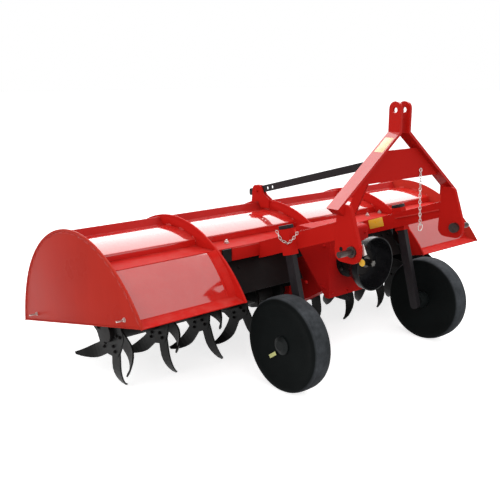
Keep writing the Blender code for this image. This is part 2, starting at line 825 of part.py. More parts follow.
def build_rotor(spinner):
    start = CASE_HALF_WIDTH + CASE_BOSS + BEARING_GAP
    bore = SHAFT_RADIUS - SHAFT_WALL
    profile = [
        (0.0, SHAFT_END),
        (SHAFT_RADIUS, SHAFT_END),
        (SHAFT_RADIUS, start),
        (bore, start),
        (bore, SHAFT_END - SHAFT_WALL),
        (0.0, SHAFT_END - SHAFT_WALL),
    ]
    turned("rotor_shaft_right", profile, "-X", (0.0, 0.0, 0.0), spinner, "black_paint", 32)
    turned("rotor_shaft_left", profile, "X", (0.0, 0.0, 0.0), spinner, "black_paint", 32)

    hexagon = circle((0.0, 0.0), FLANGE_RADIUS / math.cos(math.pi / 6.0), 6)
    outline = rounded(hexagon, [FLANGE_CORNER] * 6, 3)
    hole = circle((0.0, 0.0), SHAFT_RADIUS + WELD_GAP, 32)
    half = FLANGE_PLATE / 2.0
    disc = as_mesh(plate("disc", [outline, hole], -half, half, "X", spinner, "black_paint"))
    combine(disc, blade_ring(spinner), "UNION")
    disc = as_mesh(disc)
    pitch = (LAST_DISC - FIRST_DISC) / (DISCS_PER_SIDE - 1)
    step = 2.0 * math.pi / BLADES_PER_DISC / DISCS_PER_SIDE
    turn_in = disc.matrix_local.to_3x3()
    disc.data.transform(turn_in.to_4x4())
    for side, sign in SIDES:
        for index in range(DISCS_PER_SIDE):
            copy = add_object(f"blade_disc_{side}_{index + 1}", disc.data, spinner)
            copy.location = (sign * (LAST_DISC - pitch * index), 0.0, 0.0)
            copy.rotation_euler = (sign * step * index, 0.0, 0.0)
    bpy.data.objects.remove(disc, do_unlink=True)


# Gauge wheels


def tilted(outline):
    """Across and along a strut, from the wheel's axis, to places and heights."""
    lean = Matrix.Rotation(-STRUT_TILT, 2)
    return [tuple(lean @ Vector(point)) for point in outline]


def build_carrier(side, sign, carrier, hub_body, frame):
    inner = ARM_OUTER + WELD_GAP + SLEEVE_WALL + SLIDE_GAP
    outer = inner + STRUT_THICK
    length = (STRUT_TOP - WHEEL_RADIUS) / math.cos(STRUT_TILT)
    half = STRUT_WIDTH / 2.0
    corners = [(-half, -STRUT_FOOT), (half, -STRUT_FOOT), (half, length), (-half, length)]
    outline = tilted(rounded(corners, (STRUT_FOOT_ROUND, STRUT_FOOT_ROUND, 0.0, 0.0)))
    low, high = sorted((sign * inner, sign * outer))
    strut = as_mesh(plate(f"strut_{side}", [outline], low, high, "X", carrier, "dark_steel"))
    hub_end = WHEEL_OUTER + HUB_OVERHANG
    axle_end = hub_end - HUB_CAP - BEARING_GAP
    axle_profile = [
        (0.0, axle_end),
        (AXLE_RADIUS, axle_end),
        (AXLE_RADIUS, outer - AXLE_ROOT),
        (0.0, outer - AXLE_ROOT),
    ]
    axis = "X" if sign > 0 else "-X"
    axle = turned(f"axle_{side}", axle_profile, axis, (0.0, 0.0, 0.0), carrier, tool=True)
    combine(strut, axle, "UNION")

    bore = AXLE_RADIUS + BEARING_GAP
    hub_start = outer + SLIDE_GAP
    hub_profile = [
        (0.0, hub_end),
        (HUB_RADIUS * 0.55, hub_end),
        (HUB_RADIUS, hub_end - HUB_CHAMFER),
        (HUB_RADIUS, WHEEL_INNER - HUB_NECK),
        (HUB_RADIUS * 0.8, hub_start),
        (bore, hub_start),
        (bore, hub_end - HUB_CAP),
        (0.0, hub_end - HUB_CAP),
    ]
    turned(f"wheel_hub_{side}", hub_profile, axis, (0.0, 0.0, 0.0), hub_body, "black_paint")

    steps = 4
    shoulder = WHEEL_SHOULDER
    top = WHEEL_RADIUS - shoulder
    outer_side = WHEEL_OUTER - shoulder
    inner_side = WHEEL_INNER + shoulder
    wheel_profile = [
        (WHEEL_BORE, WHEEL_OUTER - WHEEL_DISH),
        (WHEEL_DISH_RADIUS, WHEEL_OUTER - WHEEL_DISH),
        (WHEEL_RIM_RADIUS, WHEEL_OUTER),
    ]
    for step in range(steps + 1):
        angle = math.pi / 2.0 * step / steps
        across = shoulder * math.sin(angle)
        wheel_profile.append((top + across, outer_side + shoulder * math.cos(angle)))
    for step in range(steps + 1):
        angle = math.pi / 2.0 * step / steps
        across = shoulder * math.cos(angle)
        wheel_profile.append((top + across, inner_side - shoulder * math.sin(angle)))
    wheel_profile += [
        (WHEEL_RIM_RADIUS, WHEEL_INNER),
        (WHEEL_DISH_RADIUS, WHEEL_INNER + WHEEL_DISH),
        (WHEEL_BORE, WHEEL_INNER + WHEEL_DISH),
    ]
    turned(f"wheel_{side}", wheel_profile, axis, (0.0, 0.0, 0.0), hub_body, "black_rubber", 48, closed=True)

    build_sleeve(side, sign, inner, outer, frame)


def build_sleeve(side, sign, inner, outer, frame):
    """Square sleeve on the arm that guides the strut."""
    drop = WHEEL_RADIUS
    low_end = (SLEEVE_BOTTOM - drop) / math.cos(STRUT_TILT)
    high_end = (SLEEVE_TOP - drop) / math.cos(STRUT_TILT)
    half = STRUT_WIDTH / 2.0 + SLIDE_GAP + SLEEVE_WALL
    bore_half = STRUT_WIDTH / 2.0 + SLIDE_GAP
    base = Vector((WHEEL_PLACE, WHEEL_RADIUS))

    def seated(corners):
        return [tuple(base + Vector(point)) for point in tilted(corners)]

    block = seated([(-half, low_end), (half, low_end), (half, high_end), (-half, high_end)])
    bore = seated(
        [
            (-bore_half, low_end - 0.02),
            (bore_half, low_end - 0.02),
            (bore_half, high_end + 0.02),
            (-bore_half, high_end + 0.02),
        ]
    )
    low, high = sorted((sign * (inner - SLIDE_GAP - SLEEVE_WALL), sign * (outer + SLIDE_GAP + SLEEVE_WALL)))
    sleeve = as_mesh(plate(f"strut_sleeve_{side}", [block], low, high, "X", frame, "red_paint"))
    low, high = sorted((sign * (inner - SLIDE_GAP), sign * (outer + SLIDE_GAP)))
    cutter = plate(f"sleeve_bore_{side}", [bore], low, high, "X", frame, tool=True)
    combine(sleeve, as_mesh(cutter), "DIFFERENCE")


def main():
    frame = add_empty("tiller", (0.0, ORIGIN_TO_ROTOR, 0.0))
    build_end_plates(frame)
    build_hood_sheet(frame)
    build_ribs(frame)
    build_beam(frame)
    build_front_panels(frame)
    build_arms(frame)
    build_hitch_plates(frame)
    build_mast(frame)
    build_gusset(frame)
    build_mast_strut(frame)
    build_brace(frame)
    build_brace_ear(frame)
    build_gearbox(frame)
    build_drive_case(frame)

    pto_axis = add_empty("pto_axis", (0.0, 0.0, INPUT_HEIGHT), frame)
    build_input(frame, pto_axis)
    rotor_axis = add_empty("rotor_axis", (0.0, 0.0, ROTOR_HEIGHT), frame)
    build_rotor(rotor_axis)
    for side, sign in SIDES:
        carrier = add_empty(f"carrier_{side}", (0.0, WHEEL_PLACE, WHEEL_RADIUS), frame)
        hub_body = add_empty(f"wheel_axis_{side}", (0.0, 0.0, 0.0), carrier)
        build_carrier(side, sign, carrier, hub_body, frame)


clear_scene()
PARTS = make_collection("rotary_tiller")
TOOLS = make_collection("cutters")
MATERIALS = make_materials()
main()
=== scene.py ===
import math

import bmesh
import bpy
from mathutils import Matrix, Vector


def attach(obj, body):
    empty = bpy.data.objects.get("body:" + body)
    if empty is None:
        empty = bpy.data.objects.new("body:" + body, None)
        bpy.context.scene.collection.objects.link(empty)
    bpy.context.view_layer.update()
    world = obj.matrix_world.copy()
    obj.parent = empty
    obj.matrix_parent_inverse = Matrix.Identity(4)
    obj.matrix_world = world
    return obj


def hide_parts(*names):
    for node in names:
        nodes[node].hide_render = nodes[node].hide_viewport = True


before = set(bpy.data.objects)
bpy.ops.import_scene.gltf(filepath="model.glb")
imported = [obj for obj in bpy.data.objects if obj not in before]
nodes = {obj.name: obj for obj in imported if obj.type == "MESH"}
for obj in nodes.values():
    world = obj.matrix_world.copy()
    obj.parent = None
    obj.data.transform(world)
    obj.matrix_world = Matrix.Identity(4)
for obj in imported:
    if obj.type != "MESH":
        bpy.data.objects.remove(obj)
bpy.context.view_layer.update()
print("frame loaded:", len(nodes), "nodes")

sides = (("right", -1), ("left", 1))
up = Vector((0, 0, 1))
across = Vector((1, 0, 0))
forward = Vector((0, -1, 0))

# where the main parts lie, in metres, and what several pieces share
layout = {
    "halfWidth": 1.28,
    "rotorY": 0.063,
    "rotorZ": 0.286,
    "beamTop": 0.645,
    "beamBottom": 0.578,
    "beamFrontY": -0.142,
    "beamRearY": 0.009,
    "ribX": 0.702,
    "ribPlate": 0.010,
    "armOuter": 0.416,
    "inputZ": 0.540,
    "gearboxFrontY": -0.392,
    "gearboxHalf": 0.150,
    "wheelY": -0.510,
    "wheelZ": 0.234,
    "gap": 0.0003,  # between a piece and what it stands on
}


# camera at the photograph's angle

def setCamera():
    view = {"place": (-2.828, -2.819, 1.474), "turn": (76.4074, 0, -41.2945), "lens": 51.885}
    data = bpy.data.cameras.new("camera")
    data.lens = view["lens"]
    data.sensor_width = 36
    camera = bpy.data.objects.new("camera", data)
    camera.location = view["place"]
    camera.rotation_euler = [math.radians(turn) for turn in view["turn"]]
    bpy.context.scene.collection.objects.link(camera)
    bpy.context.scene.camera = camera
    bpy.context.scene.view_settings.view_transform = "Standard"


# shader maths

class Link:
    # one output socket, on which sums make Math nodes
    def __init__(self, graph, socket):
        self.graph = graph
        self.socket = socket

    def sum(self, operation, first, second):
        return self.graph.node("ShaderNodeMath", {"operation": operation}, {0: first, 1: second})

    def __add__(self, other):
        return self.sum("ADD", self, other)

    def __radd__(self, other):
        return self.sum("ADD", other, self)

    def __sub__(self, other):
        return self.sum("SUBTRACT", self, other)

    def __rsub__(self, other):
        return self.sum("SUBTRACT", other, self)

    def __mul__(self, other):
        return self.sum("MULTIPLY", self, other)

    def __rmul__(self, other):
        return self.sum("MULTIPLY", other, self)

    def over(self, low, high, least=0.0, most=1.0):
        # least below low, most above high, a straight rise between them
        values = {0: self, 1: low, 2: high, 3: least, 4: most}
        return self.graph.node("ShaderNodeMapRange", {"clamp": True}, values)


class Graph:
    # a node tree, and the one way in which nodes are added to it
    def __init__(self, tree):
        self.tree = tree

    def node(self, kind, settings=None, values=None, output=0):
        made = self.tree.nodes.new(kind)
        for key, value in (settings or {}).items():
            setattr(made, key, value)
        for key, value in (values or {}).items():
            self.feed(made.inputs[key], value)
        return Link(self, made.outputs[output])

    def feed(self, socket, value):
        if isinstance(value, Link):
            self.tree.links.new(value.socket, socket)
        elif socket.type == "RGBA":
            socket.default_value = (*value, 1)
        else:
            socket.default_value = value


# circles round lines across the machine: what lies in both of them is below the hood sheet
belowSheet = (((0, 0.207, 0.181), 0.507), ((0, 0.269, 0.0076), 0.717))


class Finish(Graph):
    # one material, with the nodes that lead to its Principled shader
    def __init__(self, name, metallic=0.0, roughness=0.4, coat=0.0, coatIor=1.5, specular=0.5):
        self.material = bpy.data.materials.new(name)
        self.material.use_nodes = True
        super().__init__(self.material.node_tree)
        self.shader = self.tree.nodes["Principled BSDF"]
        self.set("Metallic", metallic)
        self.set("Roughness", roughness)
        self.set("Coat Weight", coat)
        self.set("Coat Roughness", 0.06)
        self.set("Coat IOR", coatIor)
        self.set("Specular IOR Level", specular)

    def set(self, name, value):
        self.feed(self.shader.inputs[name], value)

    def place(self):
        return self.node("ShaderNodeTexCoord", output="Object")

    def noise(self, scale, detail=3.0, roughness=0.5, stretch=None):
        spot = self.place()
        if stretch:
            spot = self.node("ShaderNodeMapping", None, {"Vector": spot, "Scale": stretch})
        values = {"Vector": spot, "Scale": scale, "Detail": detail, "Roughness": roughness}
        return self.node("ShaderNodeTexNoise", None, values)

    def cells(self, scale):
        values = {"Vector": self.place(), "Scale": scale}
        return self.node("ShaderNodeTexVoronoi", None, values, "Distance")

    def mix(self, share, first, second):
        return self.node("ShaderNodeMix", {"data_type": "RGBA"}, {0: share, 6: first, 7: second}, 2)

    def bump(self, height, strength, distance, below=None):
        values = {"Height": height, "Strength": strength, "Distance": distance}
        if below:
            values["Normal"] = below
        return self.node("ShaderNodeBump", None, values)

    def facingUp(self):
        normal = self.node("ShaderNodeNewGeometry", output="Normal")
        return self.node("ShaderNodeSeparateXYZ", None, {0: normal}, 2)

    def vector(self, operation, first, second=(0, 0, 0), output="Vector"):
        settings = {"operation": operation}
        return self.node("ShaderNodeVectorMath", settings, {0: first, 1: second}, output)

    def radius(self, centre):
        # distance from a line across the machine
        flat = self.vector("MULTIPLY", self.vector("SUBTRACT", self.place(), centre), (0, 1, 1))
        return self.vector("LENGTH", flat, output="Value")

    def insideHood(self, reach):
        # 1 on faces that look towards the rotor; with reach, only on those below the hood sheet
        middle = (0, layout["rotorY"], layout["rotorZ"])
        away = self.vector("SUBTRACT", self.place(), middle)
        normal = self.node("ShaderNodeNewGeometry", output="Normal")
        mask = 1 - self.vector("DOT_PRODUCT", away, normal, "Value").over(-0.02, 0.0)
        if reach:
            for centre, radius in belowSheet:
                mask = mask * (1 - self.radius(centre).over(radius - 0.003, radius + 0.003))
        return mask


# dust and chips, and dark soil colours that also serve as painted shade inside the hood
grimeAndShade = {
    "dust": (0.55, 0.40, 0.34),
    "chip": (0.055, 0.030, 0.028),
    "soilAndShade": (0.012, 0.008, 0.008),
    "soilAndShadePale": (0.045, 0.024, 0.020),
}


def redPaint(
    name, colour, dark, dust=0.08, gloss=0.16, coat=0.0, coatIor=1.5, specular=0.06,
    inside=False, reach=False, slopes=False,
):
    # sprayed enamel: slight orange peel, uneven depth of colour, fine dust on upper faces;
    # inside darkens what looks into the hood, painted shade mixed with soil, and slopes keeps the
    # coat to faces that look up
    paint = Finish(name, roughness=gloss, coat=coat, coatIor=coatIor, specular=specular)
    clouds = paint.noise(2.6, 4, 0.55)
    streaks = paint.noise(9.0, 3, 0.6, stretch=(1.0, 1.0, 0.25))
    tone = (clouds * 0.7 + streaks * 0.3).over(0.36, 0.66)
    base = paint.mix(tone, dark, colour)
    dusty = paint.facingUp().over(0.2, 1.0) * paint.noise(14.0, 5, 0.62).over(0.42, 0.72) * dust
    base = paint.mix(dusty, base, grimeAndShade["dust"])
    chips = paint.cells(46.0).over(0.030, 0.018) * paint.noise(5.0, 2).over(0.60, 0.66)
    base = paint.mix(chips * 0.8, base, grimeAndShade["chip"])
    rough = clouds.over(0.3, 0.7) * 0.10 + dusty * 1.2 + (gloss - 0.04)
    # painted shade with soil: faces that look into the hood are darkened nearly to black
    if inside:
        hidden = paint.insideHood(reach)
        soilAndShadePatches = paint.noise(24.0, 5, 0.6).over(0.35, 0.7)
        soilAndShade = paint.mix(soilAndShadePatches, grimeAndShade["soilAndShade"], grimeAndShade["soilAndShadePale"])
        base = paint.mix(hidden * 0.94, base, soilAndShade)
        rough = rough + hidden * 0.5
        paint.set("Coat Weight", coat - hidden * coat)
    if slopes:
        paint.set("Coat Weight", paint.facingUp().over(0.60, 0.76) * coat)
    paint.set("Base Color", base)
    paint.set("Roughness", rough)
    peel = paint.bump(paint.noise(300.0, 2, 0.5), 0.06, 0.0004)
    paint.set("Normal", paint.bump(paint.noise(6.0, 2, 0.5), 0.05, 0.004, peel))
    return paint.material


def blackSteel(name, colour, pale, gloss=0.42, metallic=0.0):
    # blackened or painted steel with a rolled skin, rubbed paler in places
    steel = Finish(name, metallic=metallic, roughness=gloss, specular=0.12)
    rubbed = steel.noise(11.0, 5, 0.65).over(0.50, 0.74)
    skin = steel.noise(90.0, 4, 0.6, stretch=(1.0, 1.0, 0.35))
    base = steel.mix(rubbed * 0.25, colour, pale)
    base = steel.mix(skin.over(0.35, 0.75) * 0.22, base, (0.0, 0.0, 0.0))
    steel.set("Base Color", base)
    steel.set("Roughness", steel.noise(17.0, 4, 0.6) * 0.22 + (gloss - 0.10))
    steel.set("Normal", steel.bump(skin, 0.10, 0.0008))
    return steel.material


def brightSteel(name, colour, tarnish, gloss=0.30):
    # plated or machined steel, clouded and faintly brushed
    steel = Finish(name, metallic=0.9, roughness=gloss)
    clouds = steel.noise(38.0, 4, 0.6)
    fine = steel.noise(420.0, 2, 0.5)
    steel.set("Base Color", steel.mix(clouds.over(0.38, 0.70), colour, tarnish))
    steel.set("Roughness", clouds * 0.25 + (gloss - 0.08))
    steel.set("Metallic", 0.95 - clouds.over(0.5, 0.75) * 0.35)
    steel.set("Normal", steel.bump(fine, 0.12, 0.0003))
    return steel.material


def rubber(name, face, tread):
    # solid tyre: dark sides; a scuffed running band painted lighter, partly for dust and partly as
    # a painted sheen
    skin = Finish(name, roughness=0.6, specular=0.03)
    band = skin.radius((0, layout["wheelY"], layout["wheelZ"])).over(0.222, 0.230)
    scuffs = skin.noise(26.0, 6, 0.7).over(0.35, 0.70)
    stains = skin.noise(6.0, 4, 0.6).over(0.35, 0.72)
    worn = skin.mix(scuffs, tread, [channel * 1.7 for channel in tread])
    side = skin.mix(stains, face, [channel * 1.5 for channel in face])
    # the running band's lighter colour: dust, and painted sheen
    skin.set("Base Color", skin.mix(band * (stains * 0.5 + 0.5), side, worn))
    skin.set("Roughness", 0.50 + band * 0.18 + scuffs * 0.10)
    grain = skin.bump(skin.noise(240.0, 4, 0.6), 0.16, 0.0008)
    skin.set("Normal", skin.bump(skin.noise(30.0, 4, 0.6), 0.10, 0.002, grain))
    return skin.material


def plastic(name, colour):
    shell = Finish(name, roughness=0.32, specular=0.10)
    worn = shell.noise(18.0, 5, 0.65).over(0.45, 0.75)
    shell.set("Base Color", shell.mix(worn * 0.5, colour, [channel * 2.6 for channel in colour]))
    shell.set("Roughness", 0.26 + worn * 0.22)
    shell.set("Normal", shell.bump(shell.noise(350.0, 2), 0.08, 0.0004))
    return shell.material


def label(name, colour, worn):
    # blank printed film, a little faded
    film = Finish(name, roughness=0.30)
    fade = film.noise(60.0, 4, 0.6).over(0.35, 0.75)
    film.set("Base Color", film.mix(fade, colour, worn))
    film.set("Roughness", 0.26 + fade * 0.2)
    film.set("Normal", film.bump(film.noise(120.0, 2), 0.05, 0.0004))
    return film.material


def makeFinishes():
    red, redDark = (0.50, 0.013, 0.009), (0.46, 0.011, 0.008)
    satin = {"gloss": 0.50, "specular": 0.03}
    return {
        "hood": redPaint("hoodPaint", red, redDark, coat=1.0, coatIor=1.85, inside=True),
        "panel": redPaint("panelPaint", red, redDark, coat=1.0, coatIor=2.3, inside=True),
        # a darker copy of the red, without coat: painted shade for the band behind the hood's step
        "rear": redPaint(
            "rearShadedPaint", (0.40, 0.014, 0.012), (0.37, 0.012, 0.010), dust=0.03, inside=True,
        ),
        "end": redPaint(
            "endPaint", (0.46, 0.030, 0.019), (0.40, 0.025, 0.016), gloss=0.3, specular=0.02,
            inside=True, reach=True,
        ),
        "rib": redPaint("ribPaint", red, redDark, **satin),
        "frame": redPaint("framePaint", red, redDark, dust=0.05, **satin),
        "mast": redPaint(
            "mastPaint", red, redDark, dust=0.06, coat=0.55, coatIor=2.05, slopes=True,
        ),
        "gearbox": redPaint(
            "gearboxPaint", (0.50, 0.013, 0.010), (0.42, 0.010, 0.009), dust=0.03, **satin,
        ),
        # lighter than the red: a painted highlight on the weld beads and on the arms' edge strips
        "weldHighlight": redPaint(
            "weldHighlightPaint", (0.60, 0.050, 0.036), (0.44, 0.024, 0.020), gloss=0.20, coat=0.5,
        ),
        "strut": blackSteel(
            "strutSteel", (0.020, 0.018, 0.020), (0.055, 0.050, 0.054), metallic=0.1,
        ),
        "rotor": blackSteel("rotorPaint", (0.006, 0.005, 0.005), (0.020, 0.017, 0.015), 0.50),
        "blade": blackSteel("bladeSteel", (0.005, 0.005, 0.005), (0.016, 0.016, 0.015)),
        "pin": brightSteel("pinSteel", (0.10, 0.085, 0.08), (0.04, 0.03, 0.028), 0.42),
        "zinc": brightSteel("zincPlate", (0.66, 0.62, 0.60), (0.42, 0.36, 0.32), 0.30),
        "shaft": brightSteel("shaftSteel", (0.10, 0.095, 0.09), (0.035, 0.030, 0.027), 0.36),
        "guard": plastic("guardPlastic", (0.007, 0.007, 0.008)),
        "rubber": rubber("wheelRubber", (0.004, 0.005, 0.005), (0.046, 0.050, 0.055)),
        "hub": blackSteel("hubPaint", (0.007, 0.009, 0.009), (0.030, 0.033, 0.034), 0.38, 0.1),
        "cream": label("creamLabel", (0.80, 0.62, 0.34), (0.90, 0.74, 0.48)),
        "yellow": label("yellowLabel", (0.80, 0.46, 0.02), (0.72, 0.46, 0.08)),
        "pale": label("paleLabel", (0.60, 0.60, 0.20), (0.50, 0.52, 0.22)),
    }


# the first of these that a node's name starts with gives its finish
nodeFinishes = {
    "end_plate": "end", "hood_sheet": "hood", "front_panel": "hood", "front_beam": "rib",
    "rib": "rib", "arm": "frame", "hitch_plate": "frame", "mast_leg": "mast", "mast": "frame",
    "brace_ears": "frame", "strut_sleeve": "frame", "hitch_pin": "pin", "top_brace": "strut",
    "gearbox": "gearbox", "drive_case": "gearbox", "input_nose": "rotor", "pto_guard": "guard",
    "pto_shaft": "shaft", "rotor_shaft": "rotor", "blade_disc": "blade", "strut": "strut",
    "wheel_hub": "hub", "wheel": "rubber",
}


def finishNodes():
    for name, item in nodes.items():
        finish = next(nodeFinishes[start] for start in nodeFinishes if name.startswith(start))
        for slot in item.material_slots:
            slot.material = finishes[finish]


# building and placing pieces

def addPiece(name, shape, body, finish, smooth=35):
    mesh = bpy.data.meshes.new(name)
    shape.to_mesh(mesh)
    shape.free()
    for face in mesh.polygons:
        face.use_smooth = True
    mesh.set_sharp_from_angle(angle=math.radians(smooth))
    piece = bpy.data.objects.new(name, mesh)
    bpy.context.scene.collection.objects.link(piece)
    mesh.materials.append(finishes[finish])
    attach(piece, body)
    return piece


def aimed(place, direction, roll=0.0):
    # moves a shape made along +Z to place, along direction
    turn = up.rotation_difference(Vector(direction)).to_matrix().to_4x4()
    return Matrix.Translation(place) @ turn @ Matrix.Rotation(roll, 4, "Z")


def addRound(shape, place, direction, radius, length, segments=16, topRadius=None):
    # a short round length that starts at place
    spot = aimed(place, direction) @ Matrix.Translation((0, 0, length / 2))
    top = radius if topRadius is None else topRadius
    made = bmesh.ops.create_cone(
        shape, cap_ends=True, cap_tris=False, segments=segments,
        radius1=radius, radius2=top, depth=length, matrix=spot,
    )
    return made["verts"]


fastener = {  # shares of a bolt's size
    "washer": (1.02, 0.16),  # radius and thickness
    "head": (0.86, 0.62),
    "chamfer": (0.12, 0.07),
    "thread": (0.48, 0.40),  # radius at its foot and at its end
}


def addBolt(shape, place, direction, size, stud=0.0):
    # washer, hexagon head with a chamfer, and if asked the end of its thread
    sizes = {part: [share * size for share in shares] for part, shares in fastener.items()}
    direction = Vector(direction).normalized()
    radius, thick = sizes["washer"]
    addRound(shape, place, direction, radius, thick, 14)
    place = Vector(place) + direction * thick
    radius, thick = sizes["head"]
    verts = addRound(shape, place, direction, radius, thick, 6)
    faces = {face for vert in verts for face in vert.link_faces}
    top = max(faces, key=lambda face: face.calc_center_median().dot(direction))
    inset, rise = sizes["chamfer"]
    bmesh.ops.inset_individual(shape, faces=[top], thickness=inset, depth=rise)
    if stud:
        foot, end = sizes["thread"]
        addRound(shape, place + direction * thick, direction, foot, stud, 10, end)


def asPattern(shape):
    # a small shape kept as a mesh, to be set down many times
    pattern = bpy.data.meshes.new("pattern")
    shape.to_mesh(pattern)
    shape.free()
    return pattern


def stamp(shape, pattern, spot):
    pattern.transform(spot)
    shape.from_mesh(pattern)
    pattern.transform(spot.inverted())


def beadPattern():
    shape = bmesh.new()
    bmesh.ops.create_uvsphere(shape, u_segments=7, v_segments=5, radius=1.0)
    return asPattern(shape)


def addStitch(shape, bead, start, end, width):
    # a short weld: flattened beads that overlap along a line
    start = Vector(start)
    run = Vector(end) - start
    count = max(2, round(run.length / (width * 0.75)))
    size = Matrix.Diagonal((width * 0.5, width * 0.5, width * 0.6, 1))
    for step in range(count + 1):
        stamp(shape, bead, aimed(start + run * step / count, run) @ size)


def addSlab(shape, spot, size, bevel):
    made = bmesh.ops.create_cube(shape, size=1.0, matrix=spot @ Matrix.Diagonal((*size, 1)))
    if bevel:
        edges = list({edge for vert in made["verts"] for edge in vert.link_edges})
        bmesh.ops.bevel(
            shape, geom=edges, offset=bevel, segments=2, profile=0.5, affect="EDGES", material=-1,
        )


def addPlate(shape, outline, low, high, rim):
    # a plate across X from an outline of places and heights, with rounded rims
    verts = [shape.verts.new((low, place, height)) for place, height in outline]
    face = shape.faces.new(verts)
    made = bmesh.ops.extrude_face_region(shape, geom=[face])["geom"]
    moved = [item for item in made if isinstance(item, bmesh.types.BMVert)]
    bmesh.ops.translate(shape, verts=moved, vec=(high - low, 0, 0))
    edges = {edge for vert in verts + moved for edge in vert.link_edges}
    faces = list({face for vert in verts + moved for face in vert.link_faces})
    bmesh.ops.recalc_face_normals(shape, faces=faces)
    flat = [edge for edge in edges if abs(edge.verts[0].co.x - edge.verts[1].co.x) < 1e-6]
    bmesh.ops.bevel(
        shape, geom=flat, offset=rim, segments=2, profile=0.5, affect="EDGES", material=-1,
        clamp_overlap=True,
    )


def addFolded(shape, line, stations, wall, fade=0.05):
    # a sheet whose section follows a line of places and heights; each station is a distance
    # across and how far the sheet stands out there, less so within fade of the line's start
    outward = []
    for index in range(len(line)):
        before = line[max(0, index - 1)]
        after = line[min(len(line) - 1, index + 1)]
        run = (after - before).normalized()
        outward.append(Vector((-run.y, run.x)))
    shares = [min(1.0, abs(point.y - line[0].y) / fade) for point in line]
    rows = []
    for x, proud in stations:
        spots = [spot + out * proud * share for spot, out, share in zip(line, outward, shares)]
        rows.append([shape.verts.new((x, spot.x, spot.y)) for spot in spots])
    loops = []
    for row in rows:
        loops.append([shape.edges.new(pair) for pair in zip(row, row[1:])])
    faces = []
    for first, second in zip(loops, loops[1:]):
        faces += bmesh.ops.bridge_loops(shape, edges=first + second)["faces"]
    middle = faces[len(faces) // 2]
    bmesh.ops.recalc_face_normals(shape, faces=faces)
    towards = middle.calc_center_median() - Vector((0, layout["rotorY"], layout["rotorZ"]))
    towards.x = 0
    if middle.normal.dot(towards) < 0:
        bmesh.ops.reverse_faces(shape, faces=faces)
    bmesh.ops.solidify(shape, geom=faces, thickness=wall)


def spun(shape, profile, spot, steps):
    # turns a profile of (radius, along) points once round spot's Z axis
    verts = [shape.verts.new((radius, 0, along)) for radius, along in profile]
    edges = [shape.edges.new(pair) for pair in zip(verts, verts[1:])]
    before = set(shape.verts)
    bmesh.ops.spin(
        shape, geom=verts + edges, cent=(0, 0, 0), axis=(0, 0, 1),
        angle=math.radians(360), steps=steps, use_merge=True,
    )
    made = verts + [vert for vert in shape.verts if vert not in before]
    bmesh.ops.remove_doubles(shape, verts=made, dist=0.00002)
    made = [vert for vert in made if vert.is_valid]
    faces = list({face for vert in made for face in vert.link_faces})
    bmesh.ops.recalc_face_normals(shape, faces=faces)
    bmesh.ops.transform(shape, matrix=spot, verts=made)


# hood

hood = {
    "frontCorner": (-0.375, 0.437),  # place and height
    "heading": 56.3,
    "arcs": ((0.774, 36.6), (0.590, 86.8), (0.741, 18.7)),  # radius and degrees
    "fineness": 1.6,  # degrees to a step
    "ribDepth": 0.054,
    "rearDepth": 0.012,
    "stepFoot": 0.298,
    "stepHead": 0.325,
    "fold": 0.006,
    "sheet": 0.005,
    "endPlate": 0.008,
    "rim": 0.0012,
    "sunk": 0.0005,  # how deep a raised band starts in its plate
    "rimInset": 0.0015,
    "rimBand": 0.011,
    "rimHeight": 0.0022,
    "lipEnds": (0.006, -0.004),  # from the front and rear corners
    "lipHeights": (0.0005, 0.0055),
    "lipDepth": 0.006,
    "innerLeg": 0.115,
    "ribInset": 0.003,
    "ribBand": 0.006,
    "ribHeight": 0.0012,
    "ribBandStart": 0.012,
}


def hoodLine(inset=0.0):
    # front to rear along the hood's outline, moved inwards
    heading = math.radians(hood["heading"])
    spot = Vector(hood["frontCorner"])
    points = []
    for radius, sweep in hood["arcs"]:
        centre = spot + radius * Vector((math.sin(heading), -math.cos(heading)))
        steps = round(sweep / hood["fineness"])
        for step in range(1 if points else 0, steps + 1):
            angle = heading - math.radians(sweep) * step / steps
            points.append(centre + (radius - inset) * Vector((-math.sin(angle), math.cos(angle))))
        heading -= math.radians(sweep)
        spot = centre + radius * Vector((-math.sin(heading), math.cos(heading)))
    return points


def crossing(points, place):
    # where a front to rear line passes a place: one point, or none beyond its ends
    for before, after in zip(points, points[1:]):
        if before.x <= place < after.x:
            return [before.lerp(after, (place - before.x) / (after.x - before.x))]
    return []


def between(points, low, high):
    inside = [point for point in points if low + 1e-5 < point.x < high - 1e-5]
    return crossing(points, low) + inside + crossing(points, high)


def softened(points, index, reach):
    # the line with a rounded bend in place of one of its corners
    before, corner, after = points[index - 1:index + 2]
    start = corner + (before - corner).normalized() * min(reach, (before - corner).length * 0.45)
    end = corner + (after - corner).normalized() * min(reach, (after - corner).length * 0.45)
    bend = []
    for step in range(5):
        share = step / 4
        bend.append(start.lerp(corner, share).lerp(corner.lerp(end, share), share))
    return points[:index] + bend + points[index + 1:]


def sheetLine(inwards=0.0):
    # the hood sheet's outer face, which steps up behind the crown
    shift = inwards / 2
    foot = hood["stepFoot"] + shift
    low = between(hoodLine(hood["ribDepth"] + inwards), layout["beamRearY"], foot)
    high = between(hoodLine(hood["rearDepth"] + inwards), hood["stepHead"] + shift, math.inf)
    flange = [Vector((layout["beamRearY"], layout["beamTop"] + layout["gap"]))]
    line = softened(flange + low + high, len(low) + 1, hood["fold"])
    line = softened(line, len(low), hood["fold"])
    return softened(line, 1, hood["fold"])


def pointOn(line, share):
    # the point at a share of a line's length
    total = sum((after - before).length for before, after in zip(line, line[1:]))
    left = share * total
    for before, after in zip(line, line[1:]):
        step = (after - before).length
        if left <= step:
            return before.lerp(after, left / step)
        left -= step
    return line[-1]


